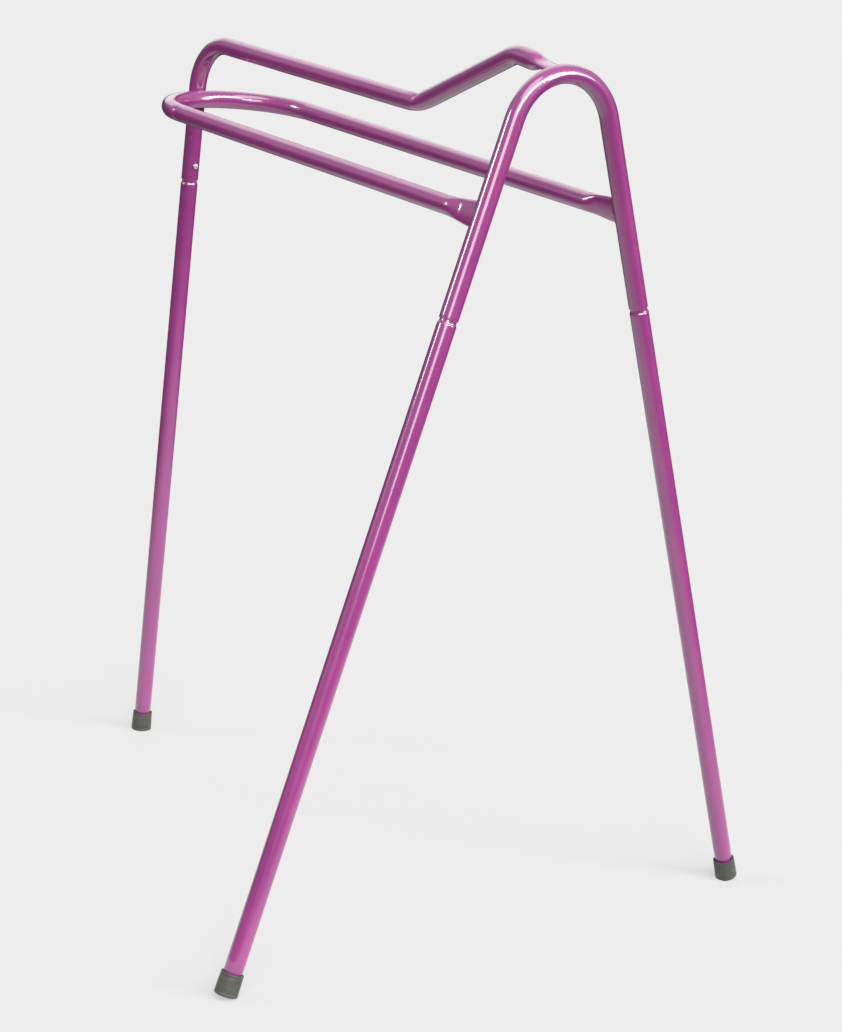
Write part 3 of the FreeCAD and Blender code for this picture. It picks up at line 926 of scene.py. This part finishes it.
def build_end_welds():
    made = {}
    crest = vec(HOOP_X - RIDGE_CREST_BACK, 0, RIDGE_CREST_Z)
    tip = vec(HOOP_X, 0, HOOP_APEX_Z)
    way = unit(tip - crest)
    start = tip - way * (TUBE_R + PADDLE_FLAT + PADDLE_FLARE)
    side = vec(0, 1, 0)
    out = np.cross(side, way)
    made["weld_ridge_front"] = end_weld("bead_ridge_front", start, way, out, side, math.pi / 2, 3)
    back_way, normal, _, _, rail_start = rail_values()
    turn = rail_paddle_turn()
    side = np.cross(back_way, normal)
    made["weld_rail_left"] = end_weld("bead_rail_left", rail_start, -back_way, normal, side, turn, 5)
    flip = vec(1, -1, 1)
    made["weld_rail_right"] = end_weld("bead_rail_right", rail_start * flip, -back_way, normal,
                                       side * flip, turn, 8)
    return made


def build_crossing_weld():
    """Weld metal round the point where the U-bend lies against the rear leg."""
    _, _, _, corner, _ = rail_values()
    rail_middle = vec(corner[0], 0, corner[2])
    away = vec(math.cos(LEAN), 0, -math.sin(LEAN))
    contact = rail_middle - away * (TUBE_R + WELD_GAP / 2)
    up, side = up_rear, vec(0, 1, 0)
    skin = Skin()
    around = CROSSING_AROUND
    random = np.random.default_rng(11)
    wobble = np.interp(np.arange(around) / around, np.linspace(0, 1, 17),
                       np.append(random.normal(0, CROSSING_WOBBLE, 16), 0))
    rows = []
    for j in range(ACROSS_BEAD + 1):
        share = j / ACROSS_BEAD
        points = []
        for i in range(around):
            a = 2 * math.pi * i / around
            ripple = abs(math.sin(a * CROSSING_RIPPLES + 0.9 * math.sin(math.pi * share))) ** RIPPLE_SHARPNESS
            reach = CROSSING_R * (1 + wobble[i]) * (0.96 + 0.04 * ripple)
            u, w = reach * math.sin(a), reach * math.cos(a)
            # The rail's surface falls away with height, the leg's to the side.
            rail_gap = TUBE_R - math.sqrt(TUBE_R ** 2 - u ** 2) + WELD_GAP / 2
            leg_gap = TUBE_R - math.sqrt(TUBE_R ** 2 - w ** 2) + WELD_GAP / 2
            x = -leg_gap + (rail_gap + leg_gap) * share
            pull = 1 - (0.10 - 0.05 * ripple) * math.sin(math.pi * share)
            points.append(contact + away * x + (up * u + side * w) * pull)
        rows.append(skin.ring(points))
    # Two small rings inside close the bead as a solid.
    core = [(up * math.sin(a) + side * math.cos(a)) * CROSSING_R * BEAD_SUNK
            for a in np.arange(around) * (2 * math.pi / around)]
    for x in (0.0004, -0.0004):
        rows.append(skin.ring([contact + away * x + p for p in core]))
    rows.append(rows[0])
    skin.tunnel(rows)
    return skin.object("bead_loop_rear")


# Materials.

class Paint:
    """A node tree, with short ways to add nodes to it."""

    def __init__(self, tree):
        self.nodes, self.links = tree.nodes, tree.links

    def link(self, value, node, name):
        self.links.new(value, node.inputs[name])

    def set(self, socket, value):
        """Gives a socket a constant, or the output of another node."""
        if isinstance(value, (int, float, tuple)):
            socket.default_value = value
        else:
            self.links.new(value, socket)

    def place(self):
        return self.nodes.new("ShaderNodeTexCoord").outputs["Object"]

    def stretched(self, where, scale):
        made = self.nodes.new("ShaderNodeMapping")
        made.inputs["Scale"].default_value = scale
        self.link(where, made, "Vector")
        return made.outputs["Vector"]

    def noise(self, where, scale, detail=3.0, roughness=0.5):
        made = self.nodes.new("ShaderNodeTexNoise")
        made.inputs["Scale"].default_value = scale
        made.inputs["Detail"].default_value = detail
        made.inputs["Roughness"].default_value = roughness
        self.link(where, made, "Vector")
        return made.outputs["Fac"]

    def remap(self, value, low, high, to_low, to_high):
        made = self.nodes.new("ShaderNodeMapRange")
        for name, number in zip(("From Min", "From Max", "To Min", "To Max"), (low, high, to_low, to_high)):
            made.inputs[name].default_value = number
        self.link(value, made, "Value")
        return made.outputs["Result"]

    def math(self, operation, a, b):
        made = self.nodes.new("ShaderNodeMath")
        made.operation = operation
        self.set(made.inputs[0], a)
        self.set(made.inputs[1], b)
        return made.outputs["Value"]

    def mix(self, share, a, b):
        made = self.nodes.new("ShaderNodeMix")
        made.data_type = "RGBA"
        self.set(made.inputs["Factor"], share)
        self.set(made.inputs["A"], a)
        self.set(made.inputs["B"], b)
        return made.outputs["Result"]

    def bump(self, height, distance, below=None):
        made = self.nodes.new("ShaderNodeBump")
        made.inputs["Distance"].default_value = distance
        made.inputs["Strength"].default_value = 1.0
        self.link(height, made, "Height")
        if below is not None:
            self.link(below, made, "Normal")
        return made.outputs["Normal"]


def node_material(name, constants):
    """A material with one shader, whose constants are given by the names of their sockets."""
    material = bpy.data.materials.new(name)
    material.use_nodes = True
    paint = Paint(material.node_tree)
    paint.nodes.clear()
    output = paint.nodes.new("ShaderNodeOutputMaterial")
    shader = paint.nodes.new("ShaderNodeBsdfPrincipled")
    paint.link(shader.outputs["BSDF"], output, "Surface")
    for socket, value in constants.items():
        shader.inputs[socket].default_value = value
    return material, paint, shader


COAT = (0.204, 0.026, 0.145, 1)
COAT_DEEP = (0.182, 0.022, 0.130, 1)
COAT_WARM = (0.226, 0.030, 0.152, 1)
BARE_STEEL = (0.42, 0.41, 0.42, 1)
BARE_ROUGHNESS = 0.42
COAT_SHADER = {"IOR": 1.5, "Coat Weight": 1.0, "Coat IOR": 1.75, "Coat Roughness": 0.06}
COAT_ROUGHNESS = (0.26, 0.36)
# Where wear plus grain starts to show steel, and where it is all steel.
RUB_THROUGH = (1.18, 1.30)
PEEL_WIDE_DEPTH = 0.000007
PEEL_FINE_DEPTH = 0.000002
RUBBER_DARK = (0.026, 0.027, 0.022, 1)
RUBBER_BLOOM = (0.052, 0.053, 0.044, 1)
RUBBER_SPECK = (0.10, 0.10, 0.09, 1)
RUBBER_SHADER = {"Sheen Weight": 0.12, "Sheen Roughness": 0.4}
PLATE_BRIGHT = (0.86, 0.85, 0.83, 1)
PLATE_DULL = (0.74, 0.74, 0.75, 1)
STRIP_BLUED = (0.20, 0.21, 0.24, 1)
STRIP_GREY = (0.34, 0.34, 0.35, 1)
METAL_SHADER = {"Metallic": 1.0}


def coat_material(name, peel=1.0):
    """Glossy powder coat with orange peel, rubbed through to steel where the pieces slide."""
    material, paint, shader = node_material(name, COAT_SHADER)
    where = paint.place()
    drift = paint.noise(where, 9.0, 2.0)
    mottle = paint.noise(where, 160.0, 4.0, 0.6)
    colour = paint.mix(paint.remap(drift, 0.3, 0.7, 0, 1), COAT_DEEP, COAT_WARM)
    colour = paint.mix(paint.remap(mottle, 0.35, 0.7, 0.0, 0.5), colour, COAT)
    wear = paint.nodes.new("ShaderNodeAttribute")
    wear.attribute_name = "wear"
    grain = paint.noise(where, 420.0, 5.0, 0.65)
    rubbed = paint.math("ADD", wear.outputs["Fac"], grain)
    rubbed = paint.remap(rubbed, *RUB_THROUGH, 0.0, 1.0)
    colour = paint.mix(rubbed, colour, BARE_STEEL)
    paint.link(colour, shader, "Base Color")
    paint.link(rubbed, shader, "Metallic")
    haze = paint.noise(where, 38.0, 3.0)
    gloss = paint.remap(haze, 0.3, 0.7, *COAT_ROUGHNESS)
    rough = paint.math("MAXIMUM", gloss, paint.math("MULTIPLY", rubbed, BARE_ROUGHNESS))
    paint.link(rough, shader, "Roughness")
    peel_wide = paint.noise(where, 430.0, 1.5, 0.4)
    peel_fine = paint.noise(where, 1300.0, 2.0, 0.5)
    normal = paint.bump(peel_wide, PEEL_WIDE_DEPTH * peel)
    normal = paint.bump(peel_fine, PEEL_FINE_DEPTH * peel, normal)
    paint.link(normal, shader, "Normal")
    return material


def rubber_material():
    """Moulded rubber: matt, faintly mottled, with a fine eroded skin."""
    material, paint, shader = node_material("cap rubber", RUBBER_SHADER)
    where = paint.place()
    bloom = paint.noise(where, 70.0, 4.0, 0.6)
    speck = paint.noise(where, 900.0, 3.0, 0.6)
    colour = paint.mix(paint.remap(bloom, 0.3, 0.75, 0, 1), RUBBER_DARK, RUBBER_BLOOM)
    colour = paint.mix(paint.remap(speck, 0.55, 0.8, 0, 0.5), colour, RUBBER_SPECK)
    paint.link(colour, shader, "Base Color")
    paint.link(paint.remap(speck, 0.3, 0.7, 0.52, 0.68), shader, "Roughness")
    normal = paint.bump(speck, 0.00003)
    normal = paint.bump(bloom, 0.00008, normal)
    paint.link(normal, shader, "Normal")
    return material


def button_material():
    """Bright nickel plate with fine handling scratches."""
    material, paint, shader = node_material("button plate", METAL_SHADER)
    where = paint.place()
    stretch = paint.stretched(where, (1.0, 9.0, 1.0))
    scratch = paint.noise(stretch, 700.0, 4.0, 0.7)
    tint = paint.mix(scratch, PLATE_BRIGHT, PLATE_DULL)
    paint.link(tint, shader, "Base Color")
    paint.link(paint.remap(scratch, 0.3, 0.7, 0.30, 0.42), shader, "Roughness")
    paint.link(paint.bump(scratch, 0.000006), shader, "Normal")
    return material


def spring_material():
    """Oiled, blued spring strip with lengthwise rolling marks."""
    material, paint, shader = node_material("spring strip", METAL_SHADER)
    where = paint.place()
    stretch = paint.stretched(where, (14.0, 14.0, 1.0))
    roll = paint.noise(stretch, 90.0, 4.0, 0.6)
    oil = paint.noise(where, 120.0, 3.0)
    colour = paint.mix(paint.remap(oil, 0.35, 0.65, 0, 1), STRIP_BLUED, STRIP_GREY)
    paint.link(colour, shader, "Base Color")
    paint.link(paint.remap(roll, 0.3, 0.7, 0.28, 0.45), shader, "Roughness")
    paint.link(paint.bump(roll, 0.00001), shader, "Normal")
    return material


def finish_piece(made, material, body, slot, *nodes):
    """Sets a piece's material and CAD nodes, and its body, which a blended piece hasn't got. The slot
    argument is not used.
    """
    made.data.materials.clear()
    made.data.materials.append(material)
    if body:
        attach(made, body)
    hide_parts(*nodes)


def build_object():
    coat = coat_material("purple powder coat")
    bead_coat = coat_material("powder coat on weld", peel=1.6)
    rubber, plate, strip = rubber_material(), button_material(), spring_material()
    finish_piece(build_hoop(), coat, "frame", "powder_coat", "front_hoop")
    finish_piece(build_ridge(), coat, "frame", "powder_coat", "ridge_tube")
    finish_piece(build_rail(), coat, "frame", "powder_coat", "rail_loop")
    for node, made in build_end_welds().items():
        finish_piece(made, bead_coat, "frame", "powder_coat", node)
    finish_piece(build_crossing_weld(), bead_coat, "frame", "powder_coat", "weld_loop_rear")
    for leg in LEGS:
        finish_piece(build_leg(leg), coat, "leg_" + leg, "powder_coat", "lower_leg_" + leg)
        finish_piece(build_cap(leg), rubber, "leg_" + leg, "cap_rubber", "foot_cap_" + leg)
        spring = build_spring(leg)
        finish_piece(spring, strip, None, "spring_steel", "snap_spring_" + leg)
        flex_spring(spring, leg)
        finish_piece(build_button(leg), plate, "button_" + leg, "button_steel", "snap_button_" + leg)


# Studio.

FLOOR_REACH = 1.7
FLOOR_SOLID = 0.6
FLOOR_Z = -0.0004
FLOOR_GLOW = 0.50
FLOOR_DARK = (0.17, 0.17, 0.17, 1)
FLOOR_LIGHT = (0.19, 0.19, 0.19, 1)
BACKDROP = 0.847

# Grey of the studio that reflections see, by height: 0 is straight down, 0.5 level, 1 straight up.
STUDIO_BELOW = (0.10, 0.09, 0.10, 1)
STUDIO_GREYS = ((0.50, 0.04), (0.55, 0.06), (0.61, 0.30), (0.72, 0.40))
STUDIO_ABOVE = (0.46, 0.46, 0.46, 1)

# Name, strength, spread, azimuth and elevation of each far light, the angles in degrees.
LIGHTS = (
    ("window left", 0.85, 15, 238, 22),
    ("front fill", 1.3, 34, -38, 24),
    ("overhead", 1.2, 40, -38, 62),
    ("back fill", 0.7, 60, 150, 36),
)

# A long curved softbox in front, from low on one side, over the top, to low on the other:
# azimuth and elevation of its parts.
FRONT_BANK = ((-28, 30), (-15, 37), (1, 40), (17, 37), (29, 29), (37, 19), (41, 11))
FRONT_BANK_STRENGTH = 0.80
FRONT_BANK_SPREAD = 19


def build_floor():
    """A pale floor disc that fades into the pale backdrop."""
    skin = Skin()
    rings = []
    for radius in (0.4, 0.8, 1.2, FLOOR_REACH):
        rings.append(skin.ring([(radius * c, radius * s, FLOOR_Z) for c, s in CIRCLE]))
    skin.tunnel(rings)
    skin.cap(rings[0])
    floor = skin.object("studio_floor")
    material = bpy.data.materials.new("pale floor")
    material.use_nodes = True
    paint = Paint(material.node_tree)
    paint.nodes.clear()
    where = paint.place()
    output = paint.nodes.new("ShaderNodeOutputMaterial")
    diffuse = paint.nodes.new("ShaderNodeBsdfDiffuse")
    cloud = paint.noise(where, 1.3, 3.0)
    colour = paint.mix(cloud, FLOOR_DARK, FLOOR_LIGHT)
    paint.link(colour, diffuse, "Color")
    glow = paint.nodes.new("ShaderNodeEmission")
    glow.inputs["Color"].default_value = (1, 1, 1, 1)
    glow.inputs["Strength"].default_value = FLOOR_GLOW
    both = paint.nodes.new("ShaderNodeAddShader")
    paint.set(both.inputs[0], diffuse.outputs["BSDF"])
    paint.set(both.inputs[1], glow.outputs["Emission"])
    clear = paint.nodes.new("ShaderNodeBsdfTransparent")
    length = paint.nodes.new("ShaderNodeVectorMath")
    length.operation = "LENGTH"
    paint.set(length.inputs[0], where)
    fade = paint.remap(length.outputs["Value"], FLOOR_SOLID, FLOOR_REACH * 0.97, 0.0, 1.0)
    mix = paint.nodes.new("ShaderNodeMixShader")
    paint.link(fade, mix, "Fac")
    paint.set(mix.inputs[1], both.outputs["Shader"])
    paint.set(mix.inputs[2], clear.outputs["BSDF"])
    paint.link(mix.outputs["Shader"], output, "Surface")
    floor.data.materials.append(material)


def sun(name, strength, spread_degrees, azimuth, elevation):
    """A soft, far light that comes from the compass direction and height given, in degrees."""
    data = bpy.data.lights.new(name, "SUN")
    data.energy = strength
    data.angle = math.radians(spread_degrees)
    lamp = bpy.data.objects.new(name, data)
    a, e = math.radians(azimuth), math.radians(elevation)
    towards = Vector((-math.cos(a) * math.cos(e), -math.sin(a) * math.cos(e), -math.sin(e)))
    lamp.rotation_mode = "QUATERNION"
    lamp.rotation_quaternion = towards.to_track_quat("-Z", "Y")
    bpy.context.scene.collection.objects.link(lamp)


def build_light():
    """A pale backdrop for the eye, and a darker studio with a bright ceiling for everything else."""
    world = bpy.data.worlds.new("studio")
    bpy.context.scene.world = world
    world.use_nodes = True
    paint = Paint(world.node_tree)
    background = paint.nodes["Background"]
    where = paint.nodes.new("ShaderNodeTexCoord").outputs["Generated"]
    split = paint.nodes.new("ShaderNodeSeparateXYZ")
    paint.link(where, split, "Vector")
    ramp = paint.nodes.new("ShaderNodeValToRGB")
    stops = ramp.color_ramp.elements
    stops[0].position, stops[0].color = 0.0, STUDIO_BELOW
    stops[1].position, stops[1].color = 1.0, STUDIO_ABOVE
    for position, value in STUDIO_GREYS:
        stop = stops.new(position)
        stop.color = (value, value, value, 1)
    paint.link(paint.remap(split.outputs["Z"], -1, 1, 0, 1), ramp, "Fac")
    rays = paint.nodes.new("ShaderNodeLightPath")
    pale = (BACKDROP, BACKDROP, BACKDROP, 1)
    colour = paint.mix(rays.outputs["Is Camera Ray"], ramp.outputs["Color"], pale)
    paint.link(colour, background, "Color")
    for light in LIGHTS:
        sun(*light)
    for number, (azimuth, elevation) in enumerate(FRONT_BANK):
        sun("front bank %d" % number, FRONT_BANK_STRENGTH, FRONT_BANK_SPREAD, azimuth, elevation)


# Camera: place, aim and lens.
CAMERA_PLACE = vec(2.3001, -1.6617, 1.0961)
CAMERA_HEADING = math.radians(142.21)
CAMERA_DIP = math.radians(14.36)
CAMERA_ROLL = math.radians(4.23)
CAMERA_LENS = 93.85
CAMERA_SHIFT = (0.0099, -0.0066)


def build_camera():
    data = bpy.data.cameras.new("camera")
    data.lens = CAMERA_LENS
    data.sensor_width = 36.0
    data.shift_x, data.shift_y = CAMERA_SHIFT
    data.clip_end = 200
    camera = bpy.data.objects.new("camera", data)
    level = vec(math.cos(CAMERA_HEADING), math.sin(CAMERA_HEADING), 0)
    ahead = level * math.cos(CAMERA_DIP) - vec(0, 0, math.sin(CAMERA_DIP))
    right = unit(np.cross(ahead, vec(0, 0, 1)))
    over = np.cross(right, ahead)
    right, over = (right * math.cos(CAMERA_ROLL) + over * math.sin(CAMERA_ROLL),
                   over * math.cos(CAMERA_ROLL) - right * math.sin(CAMERA_ROLL))
    turn = Matrix((right, over, -ahead)).transposed()
    camera.matrix_world = Matrix.Translation(CAMERA_PLACE) @ turn.to_4x4()
    bpy.context.scene.collection.objects.link(camera)
    bpy.context.scene.camera = camera


build_camera()
build_object()
build_floor()
build_light()
bpy.context.scene.view_settings.view_transform = "Standard"
